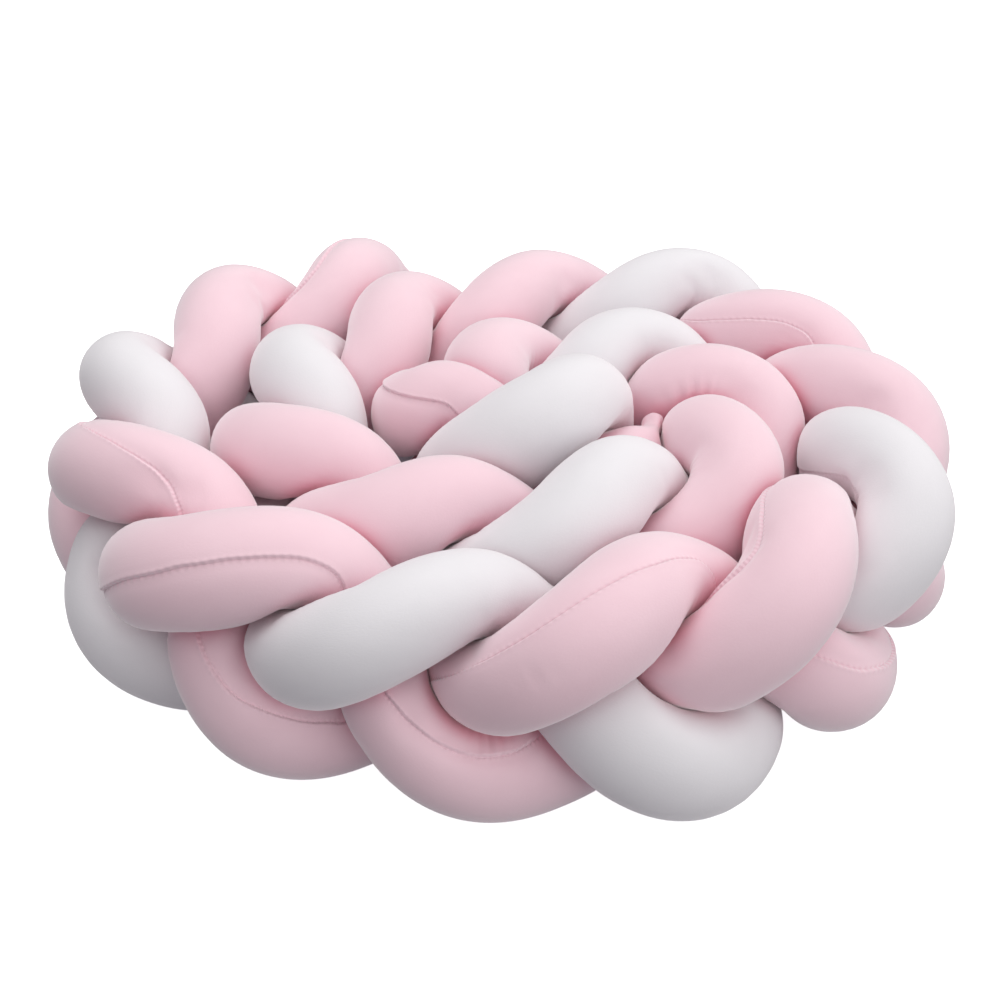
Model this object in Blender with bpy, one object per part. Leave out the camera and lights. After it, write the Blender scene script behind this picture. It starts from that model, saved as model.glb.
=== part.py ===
"""Braided crib bumper, coiled on its edge.

Three stuffed cloth tubes, one white and two pink, are plaited flat, three strands wide. The plait
stands on its lower edge and winds inwards, a little over two turns anticlockwise seen from above.
Metres, +Z up, resting on z = 0, with the origin under the middle of the coil.
"""
import math

import bpy
import numpy as np
from mathutils import Vector
from mathutils.bvhtree import BVHTree

CM = 0.01
MM = 0.001

# The plait: one strand turns at the upper edge at each whole number of the turning count, and one
# at the lower edge at each half number, so a strand comes back to the same place after three.
STRANDS = 3
TUBE_RADIUS = 3.25 * CM      # a stuffed tube where nothing presses on it
EDGE_SWING = 4.8 * CM        # from the plait's middle to a strand's centre line at either edge
WEAVE_SWING = 2.05 * CM      # from the plait's middle to a strand's centre line at either face
SAG_SWELL = 0.07             # share of its radius that a tube gains at the floor and loses on top
SQUASH = 0.90                # height of the lowest centre line, as a share of the radius
REST_HEIGHT = EDGE_SWING + SQUASH * TUBE_RADIUS

# The plait's two ends, where the three tubes are gathered and drawn together.
FIRST_TURNING = -5.75
LAST_TURNING = 19.0
DRAW_IN = 0.8                # turnings over which the strands come together at each end
OUTER_DRAW = 0.35            # share of the swings left at the outer end
INNER_DRAW = 0.6             # the same at the inner end
OUTER_TAPER, OUTER_TIP = 0.5, 0.45    # turnings over which a tube narrows, and its share left
INNER_TAPER, INNER_TIP = 0.65, 0.35

# Where the plait stands, one row for each turning at its upper edge, outer end first: the place
# in plan, the height over the rest height, how far the top leans towards the coil's middle, and
# how much thicker the tubes are than elsewhere.
# COIL_MIDDLE is the middle of the finished coil's box in the same plan, where the origin is.
COIL_MIDDLE = (-0.503 * CM, 0.412 * CM)
LAYOUT = (
    # turning, x cm, y cm, lift cm, lean degrees, extra fullness %
    (-7, 8.0, 26.0, 0.0, 20, 0),
    (-6, -3.0, 23.5, 0.0, 20, 0),
    (-5, -12.1, 19.2, 0.0, 20, 0),
    (-4, -20.5, 11.5, 0.3, 15, 0),
    (-3, -24.0, 2.0, 0.3, 10, -3),
    (-2, -20.95, -8.1, 0.3, 8, 0),
    (-1, -13.3, -15.7, 0.6, -8, 9),
    (0, -3.6, -19.1, 0.0, 0, -8),
    (1, 7.3, -19.5, 0.0, 10, 8),
    (2, 17.0, -14.8, 0.3, 2, 3),
    (3, 22.9, -6.9, 0.3, -3, 0),
    (4, 23.1, 2.0, 0.0, 0, 0),
    (5, 19.5, 10.5, 0.0, 5, 0),
    (6, 12.5, 16.5, 0.0, 0, 0),
    (7, 1.5, 15.4, 0.0, 0, 0),
    (8, -7.5, 11.5, 0.0, 5, 0),
    (9, -13.0, 3.5, 0.0, 5, 0),
    (10, -12.0, -5.0, 0.0, 5, 0),
    (11, -4.5, -10.5, 0.0, -5, 0),
    (12, 5.2, -10.4, 0.6, -10, 3),
    (13, 13.5, -5.0, 0.0, -10, 0),
    (14, 14.4, 2.5, 0.0, -5, 0),
    (15, 8.2, 7.5, 0.0, 0, 0),
    (16, -0.5, 5.0, 0.0, 0, 0),
    (17, -2.5, 0.5, 0.0, -15, 0),
    (18, 3.1, -2.1, 2.0, -20, 5),
    (19, 9.8, 1.0, 0.8, -15, 0),
    (20, 15.0, 3.0, 0.0, 0, 0),
)

# The three tubes: node name, the turning of its first place at the upper edge, and its colour.
TUBES = (
    ("white_tube", 0, (0.86, 0.86, 0.88)),
    ("pink_tube_a", 1, (0.88, 0.66, 0.71)),
    ("pink_tube_b", 2, (0.88, 0.66, 0.71)),
)
CLOTH_ROUGHNESS = 0.9

# How finely the tubes are cut into faces, and how close they come to each other.
RINGS_PER_TURNING = 6
SIDES = 10
CAP_ANGLES = (35, 68)        # degrees round the rounded end at which its rings stand
LINE_STEPS = 24              # points per turning on the lines that the tubes press against
OWN_STRETCH = 0.8            # turnings within which a tube doesn't press against itself
RING_SHARE = 0.9             # share of the room up to the next ring that a corner may use
GAP = 0.6 * MM               # between two tubes that press on each other
CLEARANCE = 0.2 * MM         # kept to each side when the faces are drawn apart
DRAW_BACK = 0.5 * MM         # how far a corner moves at each pass that draws faces apart
PASSES = 40
TIP_BULGE = 0.4              # how far a tube's tip stands out, as a share of its last ring
LEAST_FACING = 0.02          # a ray turned away from a plane more than this never meets it
LEVEL = 1e-6                 # metres over the floor, or downward slope, that still count as level


def clear_scene():
    for item in list(bpy.data.objects):
        bpy.data.objects.remove(item, do_unlink=True)


def ease(share):
    """Goes from 0 to 1 with level ends."""
    share = np.clip(share, 0.0, 1.0)
    return share * share * (3.0 - 2.0 * share)


def unit(vectors):
    return vectors / np.linalg.norm(vectors, axis=-1, keepdims=True)


def layout_at(turnings):
    """The plait's middle, heading, lean and fullness, on a smooth curve through the layout's rows."""
    rows = np.array(LAYOUT)
    values = rows[:, 1:] * (CM, CM, CM, math.radians(1.0), 0.01)
    start = np.clip(np.floor(turnings - rows[0, 0]).astype(int), 1, len(rows) - 3)
    t = (turnings - rows[0, 0] - start)[:, None]
    before, here, there, after = (values[start + step] for step in (-1, 0, 1, 2))
    bend = 2.0 * before - 5.0 * here + 4.0 * there - after
    twist = 3.0 * here - before - 3.0 * there + after
    place = 0.5 * (2.0 * here + (there - before) * t + bend * t**2 + twist * t**3)
    slope = 0.5 * ((there - before) + 2.0 * bend * t + 3.0 * twist * t**2)
    middle = place[:, :3] + (-COIL_MIDDLE[0], -COIL_MIDDLE[1], REST_HEIGHT)
    return middle, unit(slope[:, :3]), place[:, 3:4], 1.0 + place[:, 4]


def strand_line(turnings, first_top):
    """Centre line and radius of the strand that is at the upper edge at the turning first_top."""
    middle, heading, lean, fullness = layout_at(turnings)
    outward = unit(np.cross(heading, (0.0, 0.0, 1.0)))
    upward = np.cross(outward, heading)
    across = np.cos(lean) * upward - np.sin(lean) * outward
    through = np.cos(lean) * outward + np.sin(lean) * upward
    phase = 2.0 * math.pi * (turnings - first_top) / STRANDS
    outer = ease((turnings - FIRST_TURNING) / DRAW_IN)
    inner = ease((LAST_TURNING - turnings) / DRAW_IN)
    draw = (OUTER_DRAW + (1.0 - OUTER_DRAW) * outer) * (INNER_DRAW + (1.0 - INNER_DRAW) * inner)
    swing = EDGE_SWING * np.cos(phase) * draw
    weave = -WEAVE_SWING * np.sin(2.0 * phase)
    centre = middle + swing[:, None] * across + weave[:, None] * through
    outer_end = OUTER_TIP + (1.0 - OUTER_TIP) * ease((turnings - FIRST_TURNING) / OUTER_TAPER)
    inner_end = INNER_TIP + (1.0 - INNER_TIP) * ease((LAST_TURNING - turnings) / INNER_TAPER)
    radius = TUBE_RADIUS * fullness * (1.0 - SAG_SWELL * np.cos(phase)) * outer_end * inner_end
    return centre, radius


def turning_steps(per_turning):
    count = round((LAST_TURNING - FIRST_TURNING) * per_turning)
    return np.linspace(FIRST_TURNING, LAST_TURNING, count + 1)


def stations(first_top):
    """The rings' centres, headings, radii and turnings, with a rounded end added at each tip."""
    turnings = turning_steps(RINGS_PER_TURNING)
    centre, radius = strand_line(turnings, first_top)
    heading = unit(np.gradient(centre, axis=0))
    rows = list(zip(centre, heading, radius, turnings))
    for end, way in ((0, -1.0), (-1, 1.0)):
        tip_centre, tip_heading, tip_radius, tip_turning = rows[end]
        cap = []
        for angle in CAP_ANGLES:
            reach = way * tip_radius * math.sin(math.radians(angle))
            narrow = tip_radius * math.cos(math.radians(angle))
            cap.append((tip_centre + reach * tip_heading, tip_heading, narrow, tip_turning))
        rows = cap[::-1] + rows if way < 0 else rows + cap
    return [np.array(column) for column in zip(*rows)]


def ring_rays(heading):
    """Directions of each ring's corners, with one side of the ring level with the floor."""
    level = unit(np.cross((0.0, 0.0, 1.0), heading))
    upward = np.cross(heading, level)
    angles = np.linspace(0.0, 2.0 * math.pi, SIDES, endpoint=False)
    return np.stack([math.cos(a) * level + math.sin(a) * upward for a in angles], axis=1)


def room_in_bends(centre, heading, rays):
    """How far each ray may go on the inner side of a bend before it meets the next ring."""
    room = np.full(rays.shape[:2], np.inf)
    half = (centre[1:] - centre[:-1]) / 2.0
    normal = unit(heading[1:] + heading[:-1])
    depth = np.einsum("ij,ij->i", half, normal)[:, None] * RING_SHARE
    for rings, way in ((slice(None, -1), 1.0), (slice(1, None), -1.0)):
        facing = np.einsum("ijk,ik->ij", rays[rings], normal) * way
        stops = np.where(facing > LEAST_FACING, depth / np.maximum(facing, LEAST_FACING), np.inf)
        room[rings] = np.minimum(room[rings], stops)
    return room


def pressed_corners(number, lines):
    """Ring corners of one tube, each ray stopped half way to the next tube and at the floor."""
    centre, heading, radius, turning = stations(TUBES[number][1])
    rays = ring_rays(heading)
    reach = np.minimum(radius[:, None], room_in_bends(centre, heading, rays))
    steps = turning_steps(LINE_STEPS)
    for other, (line, thickness) in enumerate(lines):
        for i in range(len(centre)):
            way = line - centre[i]
            distance = np.linalg.norm(way, axis=1)
            near = distance < radius[i] + thickness
            if other == number:
                near &= np.abs(steps - turning[i]) > OWN_STRETCH
            if not near.any():
                continue
            way, distance, thick = way[near], distance[near], thickness[near]
            plane = (distance**2 + radius[i]**2 - thick**2) / (2.0 * distance) - GAP / 2.0
            facing = rays[i] @ (way / distance[:, None]).T
            stops = np.where(facing > LEAST_FACING, plane / np.maximum(facing, LEAST_FACING), np.inf)
            reach[i] = np.minimum(reach[i], stops.min(axis=1))
    downward = np.maximum(-rays[:, :, 2], LEVEL)
    reach = np.minimum(reach, centre[:, None, 2] / downward)
    corners = centre[:, None, :] + np.maximum(reach, CLEARANCE)[:, :, None] * rays
    return centre, corners


def tube_faces(ring_count):
    """Faces of a closed tube: rings in order, then its outer and its inner tip."""
    first_tip = ring_count * SIDES
    last_tip = first_tip + 1
    faces = []
    for ring in range(ring_count - 1):
        for side in range(SIDES):
            here = ring * SIDES + side
            beside = ring * SIDES + (side + 1) % SIDES
            faces.append((here, beside, beside + SIDES))
            faces.append((here, beside + SIDES, here + SIDES))
    last_ring = (ring_count - 1) * SIDES
    for side in range(SIDES):
        beside = (side + 1) % SIDES
        faces.append((first_tip, beside, side))
        faces.append((last_tip, last_ring + side, last_ring + beside))
    return faces


def with_tips(centre, corners):
    """All the corners of a tube in one list, with a tip on each rounded end."""
    tips = []
    for end, inner in ((0, 1), (-1, -2)):
        outward = unit(centre[end] - centre[inner])
        spread = np.linalg.norm(corners[end] - centre[end], axis=1).mean()
        tips.append(centre[end] + outward * spread * TIP_BULGE)
    return np.vstack([corners.reshape(-1, 3), tips])


def outward_normals(points, faces):
    a, b, c = (points[[face[k] for face in faces]] for k in range(3))
    flat = np.cross(b - a, c - a)
    normals = np.zeros_like(points)
    for k in range(3):
        np.add.at(normals, [face[k] for face in faces], flat)
    return unit(normals)


def draw_apart(skins, middles):
    """Draws corners back towards their ring's centre wherever two tubes' faces still meet."""
    for _ in range(PASSES):
        trees = []
        for points, faces in skins:
            padded = points + outward_normals(points, faces) * CLEARANCE
            trees.append(BVHTree.FromPolygons([Vector(p) for p in padded], faces))
        meeting = [set() for _ in skins]
        for i in range(len(skins)):
            for k in range(i, len(skins)):
                for face, other in trees[i].overlap(trees[k]):
                    if i == k and abs(face - other) < OWN_STRETCH * RINGS_PER_TURNING * SIDES * 2:
                        continue
                    meeting[i].update(skins[i][1][face])
                    meeting[k].update(skins[k][1][other])
        if not any(meeting):
            return
        for (points, _), middle, corners in zip(skins, middles, meeting):
            for corner in sorted(corners):
                inward = middle[corner] - points[corner]
                inward[2] *= points[corner][2] > LEVEL
                length = np.linalg.norm(inward)
                if length > DRAW_BACK:
                    points[corner] += inward * (DRAW_BACK / length)


def cloth(name, colour):
    material = bpy.data.materials.new(name)
    material.use_nodes = True
    shader = material.node_tree.nodes["Principled BSDF"]
    shader.inputs["Base Color"].default_value = (*colour, 1.0)
    shader.inputs["Roughness"].default_value = CLOTH_ROUGHNESS
    shader.inputs["Metallic"].default_value = 0.0
    return material


def add_tube(name, colour, points, faces):
    mesh = bpy.data.meshes.new(name)
    mesh.from_pydata([tuple(point) for point in points], [], faces)
    mesh.materials.append(cloth(name, colour))
    mesh.shade_smooth()
    tube = bpy.data.objects.new(name, mesh)
    bpy.context.scene.collection.objects.link(tube)


def build():
    clear_scene()
    steps = turning_steps(LINE_STEPS)
    lines = [strand_line(steps, first_top) for _, first_top, _ in TUBES]
    skins, middles = [], []
    for number in range(len(TUBES)):
        centre, corners = pressed_corners(number, lines)
        skins.append((with_tips(centre, corners), tube_faces(len(centre))))
        middles.append(np.vstack([np.repeat(centre, SIDES, axis=0), centre[0], centre[-1]]))
    draw_apart(skins, middles)
    for (name, _, colour), (points, faces) in zip(TUBES, skins):
        add_tube(name, colour, points, faces)


build()
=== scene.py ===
import math

import bpy
import numpy as np
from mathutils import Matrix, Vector


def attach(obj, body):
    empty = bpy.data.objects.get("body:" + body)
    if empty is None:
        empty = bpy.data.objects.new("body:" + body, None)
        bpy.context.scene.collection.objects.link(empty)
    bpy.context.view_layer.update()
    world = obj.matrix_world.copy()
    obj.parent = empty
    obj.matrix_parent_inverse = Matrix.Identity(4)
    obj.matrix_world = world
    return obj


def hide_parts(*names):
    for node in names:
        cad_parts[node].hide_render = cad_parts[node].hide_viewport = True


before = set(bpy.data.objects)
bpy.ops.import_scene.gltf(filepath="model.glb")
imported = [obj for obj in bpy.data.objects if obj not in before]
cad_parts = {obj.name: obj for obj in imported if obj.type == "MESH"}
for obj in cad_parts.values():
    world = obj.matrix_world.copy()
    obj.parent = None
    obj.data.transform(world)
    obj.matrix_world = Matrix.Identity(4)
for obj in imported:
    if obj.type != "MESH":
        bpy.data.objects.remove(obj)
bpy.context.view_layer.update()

# ---- White tube ----
# One of three long strips of brushed velvety knit, each sewn lengthwise into a tube, stuffed with
# polyester until it is plump and gathered shut at both ends. The three are plaited loosely by hand,
# and the plait stands on its lower edge, wound inwards, anticlockwise from above.

CM = 0.01
MM = 0.001
STRANDS = 3
TUBE_RADIUS = 3.25 * CM
EDGE_SWING = 4.8 * CM        # how far a tube goes above and below the plait's middle
WEAVE_SWING = 2.05 * CM      # how far it goes in front of the plait's middle and behind it
SAG_SWELL = 0.07             # share by which a tube is thicker at the lower edge, thinner at the upper
REST_SHARE = 0.90            # share of its radius that a tube keeps where it stands on the floor
REST_HEIGHT = EDGE_SWING + REST_SHARE * TUBE_RADIUS
COIL_MIDDLE = (-0.503 * CM, 0.412 * CM)
FIRST_TURNING = -5.75
LAST_TURNING = 19.0
DRAW_IN = 0.8                # turnings over which the plait draws together towards each end
OUTER_DRAW = 0.35            # share of the swing that is left at the outer end
INNER_DRAW = 0.6
OUTER_TAPER, OUTER_TIP = 0.5, 0.45     # turnings over which a tube narrows, and its share at the tip
INNER_TAPER, INNER_TIP = 0.65, 0.35

# The places where a tube turns at the plait's upper edge, from the outer end to the inner one. They
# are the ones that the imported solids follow. The coil is a little uneven, as hands leave it.
LAYOUT = (
    # turning, x cm, y cm, lift cm, lean degrees, extra fullness %
    (-7, 8.0, 26.0, 0.0, 20, 0),
    (-6, -3.0, 23.5, 0.0, 20, 0),
    (-5, -12.1, 19.2, 0.0, 20, 0),
    (-4, -20.5, 11.5, 0.3, 15, 0),
    (-3, -24.0, 2.0, 0.3, 10, -3),
    (-2, -20.95, -8.1, 0.3, 8, 0),
    (-1, -13.3, -15.7, 0.6, -8, 9),
    (0, -3.6, -19.1, 0.0, 0, -8),
    (1, 7.3, -19.5, 0.0, 10, 8),
    (2, 17.0, -14.8, 0.3, 2, 3),
    (3, 22.9, -6.9, 0.3, -3, 0),
    (4, 23.1, 2.0, 0.0, 0, 0),
    (5, 19.5, 10.5, 0.0, 5, 0),
    (6, 12.5, 16.5, 0.0, 0, 0),
    (7, 1.5, 15.4, 0.0, 0, 0),
    (8, -7.5, 11.5, 0.0, 5, 0),
    (9, -13.0, 3.5, 0.0, 5, 0),
    (10, -12.0, -5.0, 0.0, 5, 0),
    (11, -4.5, -10.5, 0.0, -5, 0),
    (12, 5.2, -10.4, 0.6, -10, 3),
    (13, 13.5, -5.0, 0.0, -10, 0),
    (14, 14.4, 2.5, 0.0, -5, 0),
    (15, 8.2, 7.5, 0.0, 0, 0),
    (16, -0.5, 5.0, 0.0, 0, 0),
    (17, -2.5, 0.5, 0.0, -15, 0),
    (18, 3.1, -2.1, 2.0, -20, 5),
    (19, 9.8, 1.0, 0.8, -15, 0),
    (20, 15.0, 3.0, 0.0, 0, 0),
)
# The turning at which each tube is at the upper edge.
UPPER_AT = {"white_tube": 0, "pink_tube_a": 1, "pink_tube_b": 2}


def ease(share):
    """Goes from 0 to 1 with level ends."""
    share = np.clip(share, 0.0, 1.0)
    return share * share * (3.0 - 2.0 * share)


def unit(vectors):
    return vectors / np.linalg.norm(vectors, axis=-1, keepdims=True)


def layout_at(turnings):
    """The plait's middle, heading, lean and fullness, on a smooth curve through the layout's rows."""
    rows = np.array(LAYOUT)
    values = rows[:, 1:] * (CM, CM, CM, math.radians(1.0), 0.01)
    start = np.clip(np.floor(turnings - rows[0, 0]).astype(int), 1, len(rows) - 3)
    t = (turnings - rows[0, 0] - start)[:, None]
    before, here, there, after = (values[start + step] for step in (-1, 0, 1, 2))
    bend = 2.0 * before - 5.0 * here + 4.0 * there - after
    twist = 3.0 * here - before - 3.0 * there + after
    place = 0.5 * (2.0 * here + (there - before) * t + bend * t**2 + twist * t**3)
    slope = 0.5 * ((there - before) + 2.0 * bend * t + 3.0 * twist * t**2)
    middle = place[:, :3] + (-COIL_MIDDLE[0], -COIL_MIDDLE[1], REST_HEIGHT)
    return middle, unit(slope[:, :3]), place[:, 3:4], 1.0 + place[:, 4]


def strand_line(turnings, first_top):
    """Centre line and radius of the strand that is at the upper edge at the turning first_top."""
    middle, heading, lean, fullness = layout_at(turnings)
    outward = unit(np.cross(heading, (0.0, 0.0, 1.0)))
    upward = np.cross(outward, heading)
    across = np.cos(lean) * upward - np.sin(lean) * outward
    through = np.cos(lean) * outward + np.sin(lean) * upward
    phase = 2.0 * math.pi * (turnings - first_top) / STRANDS
    outer = ease((turnings - FIRST_TURNING) / DRAW_IN)
    inner = ease((LAST_TURNING - turnings) / DRAW_IN)
    draw = (OUTER_DRAW + (1.0 - OUTER_DRAW) * outer) * (INNER_DRAW + (1.0 - INNER_DRAW) * inner)
    swing = EDGE_SWING * np.cos(phase) * draw
    weave = -WEAVE_SWING * np.sin(2.0 * phase)
    centre = middle + swing[:, None] * across + weave[:, None] * through
    outer_end = OUTER_TIP + (1.0 - OUTER_TIP) * ease((turnings - FIRST_TURNING) / OUTER_TAPER)
    inner_end = INNER_TIP + (1.0 - INNER_TIP) * ease((LAST_TURNING - turnings) / INNER_TAPER)
    radius = TUBE_RADIUS * fullness * (1.0 - SAG_SWELL * np.cos(phase)) * outer_end * inner_end
    return centre, radius


def turning_steps(per_turning):
    count = round((LAST_TURNING - FIRST_TURNING) * per_turning)
    return np.linspace(FIRST_TURNING, LAST_TURNING, count + 1)


RINGS_PER_TURNING = 24
CAP_ANGLES = (12, 24, 36, 47, 58, 68, 77)
CAP_LENGTH = 0.5             # share of its own radius by which a gathered end bulges


def tube_rings(first_top):
    """Centres, headings, radii and turnings of a tube's rings, with a rounded end at each tip."""
    turnings = turning_steps(RINGS_PER_TURNING)
    centre, radius = strand_line(turnings, first_top)
    heading = unit(np.gradient(centre, axis=0))
    rows = list(zip(centre, heading, radius, turnings))
    for end, way in ((0, -1.0), (-1, 1.0)):
        tip_centre, tip_heading, tip_radius, tip_turning = rows[end]
        cap = []
        for angle in CAP_ANGLES:
            reach = way * CAP_LENGTH * tip_radius * math.sin(math.radians(angle))
            narrow = tip_radius * math.cos(math.radians(angle))
            cap.append((tip_centre + reach * tip_heading, tip_heading, narrow, tip_turning))
        rows = cap[::-1] + rows if way < 0 else rows + cap
    return [np.array(column) for column in zip(*rows)]


SIDES = 40


def ring_rays(heading):
    """Directions from a ring's centre to its points: 0 is towards the coil's middle, 90 is up."""
    level = unit(np.cross((0.0, 0.0, 1.0), heading))
    upward = np.cross(heading, level)
    angles = np.linspace(0.0, 2.0 * math.pi, SIDES, endpoint=False)
    return np.stack([math.cos(a) * level + math.sin(a) * upward for a in angles], axis=1)


LINE_STEPS = 48              # points for each turning on the lines that press on a tube
LINES = [strand_line(turning_steps(LINE_STEPS), top) for top in UPPER_AT.values()]
NEARNESS = 1.2               # how many times their two radii apart two tubes still matter
OWN_STRETCH = 0.8            # turnings within which a tube doesn't press on itself
TOUCH_GAP = 0.3 * MM
LEAST_FACING = 0.02          # smallest cosine between a ray and what stops it
FREE_WAY = 1.0               # metres that a ray may go where nothing stops it


def room_beside(node, centre, radius, turning, rays):
    """How far each ray may go before it is half way to the next tube."""
    room = np.full(rays.shape[:2], FREE_WAY)
    steps = turning_steps(LINE_STEPS)
    for other, (line, thickness) in zip(UPPER_AT, LINES):
        for i in range(len(centre)):
            way = line - centre[i]
            distance = np.linalg.norm(way, axis=1)
            near = distance < (radius[i] + thickness) * NEARNESS
            if other == node:
                near &= np.abs(steps - turning[i]) > OWN_STRETCH
            if not near.any():
                continue
            way, distance, thick = way[near], distance[near], thickness[near]
            plane = (distance**2 + radius[i]**2 - thick**2) / (2.0 * distance) - TOUCH_GAP / 2.0
            facing = rays[i] @ (way / distance[:, None]).T
            stops = np.where(facing > LEAST_FACING, plane / np.maximum(facing, LEAST_FACING), FREE_WAY)
            room[i] = np.minimum(room[i], stops.min(axis=1))
    return room


BEND_ROOM = 0.92             # share of the way to the next ring that a point may use


def room_in_bends(centre, heading, rays):
    """How far each ray may go on the inner side of a bend before it meets the next ring."""
    room = np.full(rays.shape[:2], FREE_WAY)
    half = (centre[1:] - centre[:-1]) / 2.0
    normal = unit(heading[1:] + heading[:-1])
    depth = np.einsum("ij,ij->i", half, normal)[:, None] * BEND_ROOM
    for rings, way in ((slice(None, -1), 1.0), (slice(1, None), -1.0)):
        facing = np.einsum("ijk,ik->ij", rays[rings], normal) * way
        stops = np.where(facing > LEAST_FACING, depth / np.maximum(facing, LEAST_FACING), FREE_WAY)
        room[rings] = np.minimum(room[rings], stops)
    return room


def softest(free, stop, rounding):
    """The smaller of two distances, with the corner between them rounded over."""
    low = np.minimum(free, stop)
    return low - rounding * np.log1p(np.exp(-np.abs(free - stop) / rounding))


def evened(reach, times):
    """Spreads each point's reach into its neighbours' along and round the tube."""
    for _ in range(times):
        around = (np.roll(reach, 1, axis=1) + np.roll(reach, -1, axis=1)) / 2.0
        along = reach.copy()
        along[1:-1] = (reach[2:] + reach[:-2]) / 2.0
        reach = 0.5 * reach + 0.25 * around + 0.25 * along
    return reach


def closed_tube(name, corners, tips):
    """A closed tube of four-sided faces between rings of corners, with a fan of faces at each tip."""
    rings, sides = corners.shape[:2]
    here = np.arange(rings * sides).reshape(rings, sides)
    beside = np.roll(here, -1, axis=1)
    walls = np.stack([here[:-1], beside[:-1], beside[1:], here[1:]], axis=-1).reshape(-1, 4)
    first, last = rings * sides, rings * sides + 1
    fans = [(first, b, a) for a, b in zip(here[0], beside[0])]
    fans += [(last, a, b) for a, b in zip(here[-1], beside[-1])]
    mesh = bpy.data.meshes.new(name)
    points = np.vstack([corners.reshape(-1, 3), tips])
    mesh.from_pydata(points.tolist(), [], walls.tolist() + fans)
    return mesh


def tip_points(centre, share):
    """A point past each end of a line of centres, by a share of the last step."""
    return [centre[end] + (centre[end] - centre[inner]) * share for end, inner in ((0, 1), (-1, -2))]


FRAMES = 20                  # frames for which the cloth swells
PRESSURE = 4.0
POINT_MASS = 0.002           # kg at each point of the cloth
SLACK_CLOTH = 0.02           # share by which the cloth is larger than the tube it starts as


def blown_out(name, corners, tips, loose):
    """Swells the cloth from inside with Blender's cloth, held where other tubes press on it."""
    tube = bpy.data.objects.new(name, closed_tube(name, corners, tips))
    bpy.context.scene.collection.objects.link(tube)
    pressed = tube.vertex_groups.new(name="pressed")
    for point in np.flatnonzero(loose.ravel() <= 0.0):
        pressed.add([int(point)], 1.0, "REPLACE")
    pressed.add([loose.size, loose.size + 1], 1.0, "REPLACE")
    cloth = tube.modifiers.new("stuffing", "CLOTH")
    cloth.settings.quality = 4
    cloth.settings.mass = POINT_MASS
    cloth.settings.use_pressure = True
    cloth.settings.uniform_pressure_force = PRESSURE
    cloth.settings.effector_weights.gravity = 0.0
    cloth.settings.shrink_min = -SLACK_CLOTH
    cloth.settings.vertex_group_mass = "pressed"
    cloth.collision_settings.use_collision = False
    cloth.point_cache.frame_end = FRAMES
    for frame_number in range(1, FRAMES + 1):
        bpy.context.scene.frame_set(frame_number)
    bpy.context.view_layer.objects.active = tube
    bpy.ops.object.modifier_apply(modifier=cloth.name)
    moved = np.empty(len(tube.data.vertices) * 3)
    tube.data.vertices.foreach_get("co", moved)
    mesh = tube.data
    bpy.data.objects.remove(tube)
    bpy.data.meshes.remove(mesh)
    bpy.context.scene.frame_set(1)
    return moved.reshape(-1, 3)[:loose.size].reshape(corners.shape)


START_SHARE = 0.98           # share of the solid's radius at which the cloth starts to swell
ROUND_OVER = 3.0 * MM        # how softly the cloth turns in where it meets the next tube
ROUND_SHARE = 0.1            # the most that is rounded over, as a share of the radius
EVENING_ROUNDS = 3
LEAST_REACH = 0.15           # share of the radius that every direction keeps
LOOSE_ROOM = 2.0 * MM        # room to the next tube at which the cloth is free to move
CREASE_SHADE_ROOM = 5.0 * MM       # room to the next tube at which the painted crease shade begins
MOVE_CAP = 5.0 * MM
END_POINT = 0.6              # share of the last step past the end at which the cloth closes
TINY = 1e-6


def swollen_tube(node, piece_name):
    """The tube's rings after it has been pressed by its neighbours and the floor, then stuffed."""
    centre, heading, radius, turning = tube_rings(UPPER_AT[node])
    rays = ring_rays(heading)
    least = LEAST_REACH * radius[:, None]
    stop = np.minimum(room_beside(node, centre, radius, turning, rays),
                      room_in_bends(centre, heading, rays))
    stop = np.minimum(stop, centre[:, None, 2] / np.maximum(-rays[:, :, 2], TINY))
    stop = np.maximum(stop, least)
    full = np.repeat(radius[:, None] * START_SHARE, SIDES, axis=1)
    reach = softest(full, stop, np.minimum(ROUND_OVER, radius[:, None] * ROUND_SHARE))
    reach = np.clip(evened(reach, EVENING_ROUNDS), least, stop)
    corners = centre[:, None, :] + reach[:, :, None] * rays
    loose = np.clip((stop - reach) / LOOSE_ROOM, 0.0, 1.0)
    move = blown_out(piece_name, corners, tip_points(centre, END_POINT), loose) - corners
    length = np.linalg.norm(move, axis=2, keepdims=True)
    move *= np.minimum(1.0, MOVE_CAP / np.maximum(length, TINY))
    outward = np.einsum("ijk,ijk->ij", move, rays)
    sideways = move - outward[:, :, None] * rays
    reach = np.clip(reach + outward, least, stop)
    corners = centre[:, None, :] + reach[:, :, None] * rays + sideways * loose[:, :, None]
    corners[:, :, 2] = np.maximum(corners[:, :, 2], 0.0)
    # Painted shade for the creases: full where the cloth meets the next tube, none from 5 mm away.
    painted_crease_shade = 1.0 - np.clip((stop - reach) / CREASE_SHADE_ROOM, 0.0, 1.0)
    return corners, centre, heading, turning, loose, painted_crease_shade


def spline_shares(t):
    """The four shares of a smooth cubic spline, t of the way from its second point to its third."""
    return ((1.0 - t)**3 / 6.0, (3.0 * t**3 - 6.0 * t**2 + 4.0) / 6.0,
            (-3.0 * t**3 + 3.0 * t**2 + 3.0 * t + 1.0) / 6.0, t**3 / 6.0)


def between_rings(values, places):
    """Values of the rings read at places between them."""
    start = np.floor(places).astype(int)
    shares = spline_shares(places - start)
    rows = [np.clip(start + step, 0, len(values) - 1) for step in (-1, 0, 1, 2)]
    broad = (slice(None),) + (None,) * (values.ndim - 1)
    return sum(share[broad] * values[row] for share, row in zip(shares, rows))


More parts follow.
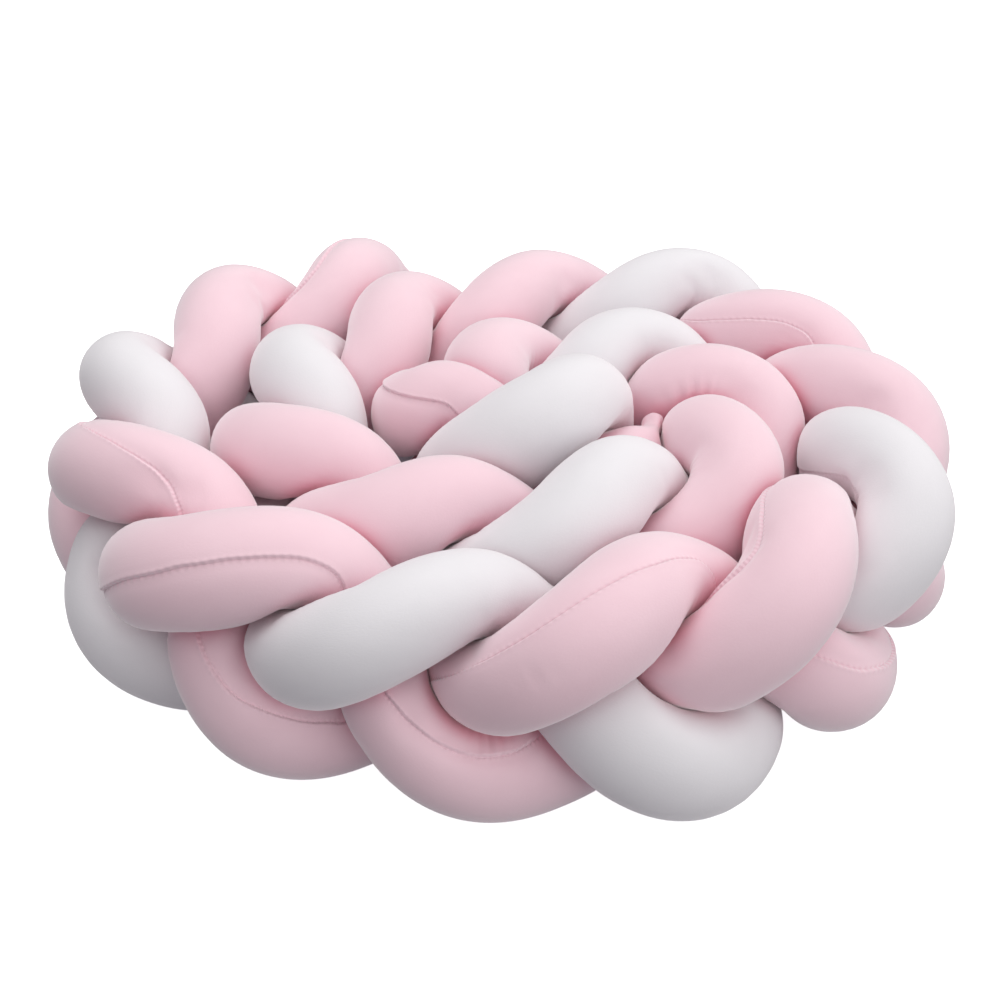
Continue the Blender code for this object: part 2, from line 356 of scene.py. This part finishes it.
def between_sides(values, places):
    """Values round each ring read at places between them; places count sides, ring by ring."""
    start = np.floor(places).astype(int)
    shares = spline_shares(places - start)
    ring = np.arange(len(values))[:, None]
    broad = (...,) + (None,) * (values.ndim - 2)
    return sum(share[broad] * values[ring, (start + step) % values.shape[1]]
               for share, step in zip(shares, (-1, 0, 1, 2)))


SWELL_GAIN = 1.8             # makes up for what the spline takes off the random heights


def random_swell(seed, cell_length, cells_round, along, turn):
    """A smooth random height between about -1 and 1, in cells of cell_length metres."""
    chance = np.random.default_rng(seed)
    rows = int(along[-1] / cell_length) + 3
    grid = chance.uniform(-1.0, 1.0, (rows, cells_round)) * SWELL_GAIN
    return between_sides(between_rings(grid, along / cell_length + 1.0), turn * cells_round)


GIRTH = 2.0 * math.pi * TUBE_RADIUS
FINE_RINGS = 1740
NEAR_SEAM = (0.4, 0.9, 1.5, 2.3, 3.6, 5.4, 7.8)    # mm from the seam at which points run beside it
FAR_COLUMNS = 39
SEAM_EASE = 12               # rings over which the seam's bends are rounded, each way


def seam_columns():
    """Distances round the tube, from the seam back to it, at which the fine skin has its points."""
    near = np.array(NEAR_SEAM) * MM
    far = np.linspace(near[-1], GIRTH - near[-1], FAR_COLUMNS + 2)[1:-1]
    return np.concatenate([[0.0], near, far, GIRTH - near[::-1]])


def seam_turns(turnings, seam):
    """How far round the tube the seam lies at each ring, in whole turns."""
    rows = np.array(seam)
    shares = np.hanning(2 * SEAM_EASE + 3)[1:-1]
    turns = np.interp(turnings, rows[:, 0], rows[:, 1]) / 360.0
    return np.convolve(np.pad(turns, SEAM_EASE, "edge"), shares / shares.sum(), "valid")


# The seam: two edges turned in and sewn, so one lies a little higher and stands up in a lip beside
# the groove that the thread pulls in, with a shallow valley on both sides.
SEAM_GROOVE, SEAM_WIDTH = 1.3 * MM, 0.6 * MM
SEAM_LIP, LIP_WIDTH, LIP_PLACE = 0.35 * MM, 0.8 * MM, 1.5 * MM
SEAM_STEP = 0.7 * MM
SEAM_VALLEY, VALLEY_WIDTH = 0.5 * MM, 7.0 * MM
SEAM_WANDER, WANDER_LENGTH = 0.5 * MM, 6.0 * MM


def seam_height(offset, along, turn, raised_side, seed):
    """How far the seam lifts or pulls in the cloth, with the higher edge on the raised side."""
    from_seam = (offset + GIRTH / 2.0) % GIRTH - GIRTH / 2.0
    wander = random_swell(seed, WANDER_LENGTH, 3, along, 0.0 * turn)
    from_seam = from_seam + SEAM_WANDER * wander
    lip = SEAM_LIP * np.exp(-((from_seam * raised_side - LIP_PLACE) / LIP_WIDTH)**2)
    groove = SEAM_GROOVE * np.exp(-(from_seam / SEAM_WIDTH)**2)
    step = SEAM_STEP * raised_side * np.tanh(from_seam / SEAM_WIDTH)
    return lip - groove + (step - SEAM_VALLEY) * np.exp(-(from_seam / VALLEY_WIDTH)**2)


# The unevenness of hand-stuffed cloth: how high or deep each kind is, and how long.
LUMPS, LUMP_LENGTH = 0.9 * MM, 45.0 * MM
DIMPLES, DIMPLE_LENGTH = 0.25 * MM, 14.0 * MM
PUCKER_LENGTH, PUCKER_DEPTH = 9.0 * MM, 1.0 * MM
PUCKER_START, PUCKER_FULL = 0.35, 0.4      # how tight a bend puckers, and how much tighter for all of it
PUCKER_DRIFT, DRIFT_LENGTH = 0.6, 30.0 * MM
PINCH_FOLD = 6.5 * MM


def waves(count):
    return 0.5 + 0.5 * np.cos(2.0 * math.pi * count)


def pucker_depth(along, turn, inside, seed):
    """Folds on the inner side of a bend, where the cloth is longer than the way it has to go."""
    drift = PUCKER_DRIFT * random_swell(seed, DRIFT_LENGTH, 7, along, turn)
    tightness = np.clip(inside - PUCKER_START, 0.0, PUCKER_FULL) / PUCKER_FULL
    return PUCKER_DEPTH * tightness * waves(along[:, None] / PUCKER_LENGTH + drift)


def pinch_depth(along, turn, turnings, pinch):
    """Short gathers across the tube at one place, where the next tube pulls the cloth together."""
    place, degrees, length, width, depth = pinch
    away = along - np.interp(place, turnings, along)
    beside = (turn - degrees / 360.0 + 0.5) % 1.0 - 0.5
    near = np.exp(-(away[:, None] / (length * MM))**2 - (beside * GIRTH / (width * MM))**2)
    return depth * MM * near * waves(away[:, None] / PINCH_FOLD)


CREASE_SHADE_POWER = 1.5           # how quickly the painted crease shade fades towards the open cloth


def lay_cloth_map(mesh, along, offset):
    """A map in metres: along the tube, and round it from the seam. The pattern follows the cloth."""
    rings, sides = len(along), len(offset)
    around = np.append(offset, GIRTH)
    ring = np.repeat(np.arange(rings - 1), sides)
    side = np.tile(np.arange(sides), rings - 1)
    walls = np.stack([np.stack([along[ring + on], around[side + over]], -1)
                      for on, over in ((0, 0), (0, 1), (1, 1), (1, 0))], 1)
    fans = []
    for end in (0, -1):
        for side in range(sides):
            left, right = (side + 1, side) if end == 0 else (side, side + 1)
            between = (around[side] + around[side + 1]) / 2.0
            fans += [(along[end], between), (along[end], around[left]), (along[end], around[right])]
    corners = np.concatenate([walls.reshape(-1, 2), np.array(fans)])
    mesh.uv_layers.new(name="cloth").data.foreach_set("uv", corners.ravel())


def stuffed_tube(node, piece_name, seam, raised_side, seam_depth, pinches, seed):
    """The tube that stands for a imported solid, in the solid's own place."""
    corners, centre, heading, turning, loose, painted_crease_shade = swollen_tube(node, piece_name)

    # Finer rings and columns, closest beside the seam.
    places = np.linspace(0.0, len(centre) - 1.0, FINE_RINGS)
    middle, turnings = between_rings(centre, places), between_rings(turning, places)
    bend = np.gradient(heading, axis=0) / np.linalg.norm(np.gradient(centre, axis=0), axis=1)[:, None]
    bend = between_rings(bend, places)
    along = np.concatenate([[0.0], np.cumsum(np.linalg.norm(np.diff(middle, axis=0), axis=1))])
    offset = seam_columns()
    turn = seam_turns(turnings, seam)[:, None] + offset / GIRTH
    skin, loose, painted_crease_shade = (between_sides(between_rings(values, places), turn * SIDES)
                         for values in (corners, loose, painted_crease_shade))
    loose = np.clip(loose, 0.0, 1.0)
    painted_crease_shade = np.clip(painted_crease_shade, 0.0, 1.0) ** CREASE_SHADE_POWER

    # The seam, the stuffing's lumps, and the folds where the cloth is bent or pulled together.
    from_middle = skin - middle[:, None, :]
    around = np.roll(skin, -1, axis=1) - np.roll(skin, 1, axis=1)
    normal = unit(np.cross(around, np.gradient(skin, axis=0)))
    normal *= np.sign(np.einsum("ijk,ijk->ij", normal, from_middle))[:, :, None]
    height = seam_depth * seam_height(offset, along, turn, raised_side, seed + 3)
    height += LUMPS * random_swell(seed, LUMP_LENGTH, 5, along, turn)
    height += DIMPLES * random_swell(seed + 1, DIMPLE_LENGTH, 14, along, turn)
    inside = np.einsum("ijk,ik->ij", from_middle, bend)
    pulled_in = pucker_depth(along, turn, inside, seed + 2) * loose
    for pinch in pinches:
        pulled_in += pinch_depth(along, turn, turnings, pinch)
    skin = skin + normal * (height * loose - pulled_in)[:, :, None]
    skin[:, :, 2] = np.maximum(skin[:, :, 2], 0.0)

    mesh = closed_tube(piece_name, skin, tip_points(middle, 1.0))
    lay_cloth_map(mesh, along, offset)
    tip_values = [0.0, 0.0]
    # The painted crease shade, kept on the points for the material; the tips get none.
    mesh.attributes.new("painted_crease_shade", "FLOAT", "POINT").data.foreach_set("value", np.append(painted_crease_shade, tip_values))
    mesh.shade_smooth()
    tube = bpy.data.objects.new(piece_name, mesh)
    bpy.context.scene.collection.objects.link(tube)
    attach(tube, "root")
    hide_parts(node)
    return tube


def linear(hex_colour):
    """An sRGB hex colour as the linear colour that shaders take."""
    parts = [int(hex_colour[i:i + 2], 16) / 255.0 for i in (1, 3, 5)]
    straight = [c / 12.92 if c <= 0.04045 else ((c + 0.055) / 1.055) ** 2.4 for c in parts]
    return (*straight, 1.0)


def add_node(tree, kind, settings=None, inputs=None, links=None):
    """Adds a node with its settings, its sockets' values and its links from other nodes' sockets."""
    node = tree.nodes.new(kind)
    for key, value in (settings or {}).items():
        setattr(node, key, value)
    for key, value in (inputs or {}).items():
        node.inputs[key].default_value = value
    for key, socket in (links or {}).items():
        tree.links.new(socket, node.inputs[key])
    return node


# Brushed knit: a fine knit whose face is raised into a short dense pile. It is quite matt, with no
# highlight, and the upright tips of the pile catch the light edge on, so each lobe is palest at
# its rim. Towards another tube its colour is darkened by painted shade, or the creases would look grey.
NAP_PATCHES = 45.0           # to the metre: the nap lies one way or another in patches of 22 mm
PILE_TUFTS = 900.0           # to the metre: 1.1 mm, coarser than such a pile is, so that it shows
PILE_DEPTH, PILE_SHOW = 0.4 * MM, 0.22
STITCH = 3.2 * MM            # one stitch of the seam
STITCH_REACH = 3.0 * MM      # how far from the seam its stitches still pull the cloth
STITCH_DEPTH = 0.5 * MM


def brushed_knit(name, lit, shade, crease_shade_colour, stitch_show):
    """The cloth of one colour, with the nap lying both ways, and painted shade in its creases."""
    material = bpy.data.materials.new(name)
    material.use_nodes = True
    tree = material.node_tree
    shader = tree.nodes["Principled BSDF"]
    shader.inputs["Roughness"].default_value = 0.9
    shader.inputs["Specular IOR Level"].default_value = 0.15
    shader.inputs["Sheen Weight"].default_value = 1.0
    shader.inputs["Sheen Roughness"].default_value = 0.5
    shader.inputs["Sheen Tint"].default_value = (1.0, 0.97, 0.98, 1.0)
    cloth = add_node(tree, "ShaderNodeUVMap", {"uv_map": "cloth"})
    nap = add_node(tree, "ShaderNodeTexNoise", {},
                   {"Scale": NAP_PATCHES, "Detail": 3.0, "Roughness": 0.6},
                   {"Vector": cloth.outputs["UV"]})
    tone = add_node(tree, "ShaderNodeMix", {"data_type": "RGBA"}, {6: linear(shade), 7: linear(lit)},
                    {0: nap.outputs["Fac"]})
    # Painted shade: the crease colour is mixed in where the cloth meets another tube.
    painted_crease_shade = add_node(tree, "ShaderNodeAttribute", {"attribute_name": "painted_crease_shade"})
    crease_shaded = add_node(tree, "ShaderNodeMix", {"data_type": "RGBA"}, {7: linear(crease_shade_colour)},
                        {0: painted_crease_shade.outputs["Fac"], 6: tone.outputs[2]})
    tree.links.new(crease_shaded.outputs[2], shader.inputs["Base Color"])
    pile = add_node(tree, "ShaderNodeTexNoise", {},
                    {"Scale": PILE_TUFTS, "Detail": 2.0, "Roughness": 0.6},
                    {"Vector": cloth.outputs["UV"]})
    bump = add_node(tree, "ShaderNodeBump", {}, {"Strength": PILE_SHOW, "Distance": PILE_DEPTH},
                    {"Height": pile.outputs["Fac"]})

    # Stitches: waves along the seam that fade with the distance from it, on either side.
    across = add_node(tree, "ShaderNodeSeparateXYZ", links={"Vector": cloth.outputs["UV"]})
    far_side = add_node(tree, "ShaderNodeMath", {"operation": "SUBTRACT"}, {0: GIRTH},
                        {1: across.outputs["Y"]})
    from_seam = add_node(tree, "ShaderNodeMath", {"operation": "MINIMUM"}, {},
                         {0: across.outputs["Y"], 1: far_side.outputs[0]})
    near = add_node(tree, "ShaderNodeMapRange", {"interpolation_type": "SMOOTHSTEP"},
                    {"From Min": 0.0, "From Max": STITCH_REACH, "To Min": 1.0, "To Max": 0.0},
                    {"Value": from_seam.outputs[0]})
    beat = add_node(tree, "ShaderNodeMath", {"operation": "MULTIPLY"}, {1: 2.0 * math.pi / STITCH},
                    {0: across.outputs["X"]})
    pulled = add_node(tree, "ShaderNodeMath", {"operation": "SINE"}, {}, {0: beat.outputs[0]})
    stitched = add_node(tree, "ShaderNodeMath", {"operation": "MULTIPLY"}, {},
                        {0: pulled.outputs[0], 1: near.outputs["Result"]})
    stitches = add_node(tree, "ShaderNodeBump", {}, {"Strength": stitch_show, "Distance": STITCH_DEPTH},
                        {"Height": stitched.outputs[0], "Normal": bump.outputs["Normal"]})
    tree.links.new(stitches.outputs["Normal"], shader.inputs["Normal"])
    return material


WHITE_SEAM = (
    # turning, degrees round from the side towards the coil's middle, by way of the top
    (-6, -90), (-3, -80), (0, -10), (2.5, 30), (3.3, -10), (5.3, -60), (7, -70), (9, -90), (19, -100),
)
white_tube = stuffed_tube("white_tube", "white_stuffed_tube", WHITE_SEAM, 1, 0.4, (), 11)
# The third colour is painted shade for the creases beside another tube.
white_knit = brushed_knit("white brushed knit", "#EAE7EA", "#E4E1E4", "#DCCED2", 0.15)
white_tube.data.materials.append(white_knit)

# ---- Pink tubes ----
# The other two strips, cut, sewn and stuffed as the white one but of pale pink brushed knit. Their
# seams show on many of the lobes, and the cloth is gathered short at four places.
SEAM_A = (
    # turning, degrees round as for the white seam
    (-6, 120), (-2.2, 95), (-2.0, 115), (-1.85, 127), (-1.1, 126), (-0.5, 146), (0.3, 147), (0.5, 120),
    (0.7, 94), (0.85, 94), (1.1, 118), (1.3, 118), (2.1, 142), (4, 230), (7, 260), (10, 260), (13, 250),
    (16, 260), (19, 250),
)
SEAM_B = (
    (-6, 200), (-4, 220), (-1.5, 190), (-1.3, 153), (-1.1, 134), (-0.7, 133), (-0.1, 118), (0.3, 128),
    (1.9, 42), (4.75, 40), (5.1, 50), (5.5, 54), (8, -80), (11, -90), (14, -110), (16.6, -232),
    (16.9, -240), (17.05, -222), (17.3, -213), (19, -200),
)
PINCHES_A = (
    # turning, degrees round as for the seam, length mm, width mm, depth mm
    (0.6, 148, 7, 6, 0.8),
)
PINCHES_B = (
    (0.25, 108, 14, 10, 1.6), (14.13, 18, 12, 12, 2.2), (13.9, 95, 8, 9, 1.2),
)
# The third colour is painted shade for the creases beside another tube.
pink_knit = brushed_knit("pink brushed knit", "#F4D3DC", "#EECAD4", "#E58FA3", 0.4)
for node, piece_name, seam, raised_side, pinches, seed in (
        ("pink_tube_a", "pink_stuffed_tube_a", SEAM_A, 1, PINCHES_A, 21),
        ("pink_tube_b", "pink_stuffed_tube_b", SEAM_B, -1, PINCHES_B, 31)):
    pink_tube = stuffed_tube(node, piece_name, seam, raised_side, 1.0, pinches, seed)
    pink_tube.data.materials.append(pink_knit)

# ---- Floor ----
# White paper laid flat and far enough behind the coil to fill the picture. It glows a little, so
# that it stays white in the coil's soft shadow, and it throws no light back up at the cloth.
FLOOR_SIZE = 12.0
FLOOR_MIDDLE = (0.0, 2.0, 0.0)
FLOOR_GLOW = 0.8
bpy.ops.object.select_all(action="DESELECT")
bpy.ops.mesh.primitive_plane_add(size=FLOOR_SIZE, location=FLOOR_MIDDLE)
floor = bpy.context.object
floor.name = "floor"
paper = bpy.data.materials.new("white paper")
paper.use_nodes = True
paper_shader = paper.node_tree.nodes["Principled BSDF"]
paper_shader.inputs["Base Color"].default_value = linear("#F9F9F9")
paper_shader.inputs["Roughness"].default_value = 0.9
paper_shader.inputs["Emission Color"].default_value = linear("#FFFFFF")
paper_shader.inputs["Emission Strength"].default_value = FLOOR_GLOW
floor.data.materials.append(paper)
floor.visible_diffuse = False

# ---- Lights ----
# A white room that is bright overhead and dim near the floor, more so on the left, with one large
# soft box above and a weak one low on the right.
ROOM_TILT = (0.35, 0.0, 1.0)         # the direction in which the room grows brighter
ROOM_DIM, ROOM_BRIGHT = 0.0, 0.6     # how far along that direction it is dimmest and brightest
DIM_LIGHT = (0.18, 0.17, 0.195, 1.0)
BRIGHT_LIGHT = (0.99, 0.99, 0.99, 1.0)
world = bpy.data.worlds.new("soft white room")
bpy.context.scene.world = world
world.use_nodes = True
room = world.node_tree
direction = add_node(room, "ShaderNodeTexCoord")
along_tilt = add_node(room, "ShaderNodeVectorMath", {"operation": "DOT_PRODUCT"}, {1: ROOM_TILT},
                      {0: direction.outputs["Generated"]})
brightness = add_node(room, "ShaderNodeMapRange", {}, {"From Min": ROOM_DIM, "From Max": ROOM_BRIGHT},
                      {"Value": along_tilt.outputs["Value"]})
room_light = add_node(room, "ShaderNodeMix", {"data_type": "RGBA"}, {6: DIM_LIGHT, 7: BRIGHT_LIGHT},
                      {0: brightness.outputs["Result"]})
room.links.new(room_light.outputs[2], room.nodes["Background"].inputs["Color"])


def soft_box(name, place, aim, size, watts):
    light = bpy.data.lights.new(name, "AREA")
    light.energy = watts
    light.size = size
    holder = bpy.data.objects.new(name, light)
    holder.location = place
    bpy.context.scene.collection.objects.link(holder)
    way = Vector(aim) - Vector(place)
    holder.rotation_euler = way.to_track_quat("-Z", "Y").to_euler()


soft_box("top box", place=(0.1, 0.6, 1.5), aim=(0.0, 0.0, 0.1), size=1.2, watts=6.5)
soft_box("side box", place=(1.3, -1.1, 0.3), aim=(0.1, -0.1, 0.05), size=1.0, watts=4.0)

# ---- Camera ----
# It stands in front of the coil and looks down at it at about 36 degrees.
CAMERA_DOWN = math.radians(36.3)
CAMERA_AWAY = 0.928
CAMERA_AIM = np.array([0.0037 - COIL_MIDDLE[0], 0.0091 - COIL_MIDDLE[1], 0.05])
camera = bpy.data.cameras.new("camera")
camera.lens = 49.4
camera.sensor_width = 36.0
stand = bpy.data.objects.new("camera", camera)
bpy.context.scene.collection.objects.link(stand)
backward = np.array([0.0, -math.cos(CAMERA_DOWN), math.sin(CAMERA_DOWN)])
stand.location = CAMERA_AIM + CAMERA_AWAY * backward
stand.rotation_euler = (math.pi / 2.0 - CAMERA_DOWN, 0.0, 0.0)
bpy.context.scene.camera = stand
bpy.context.scene.view_settings.view_transform = "Standard"
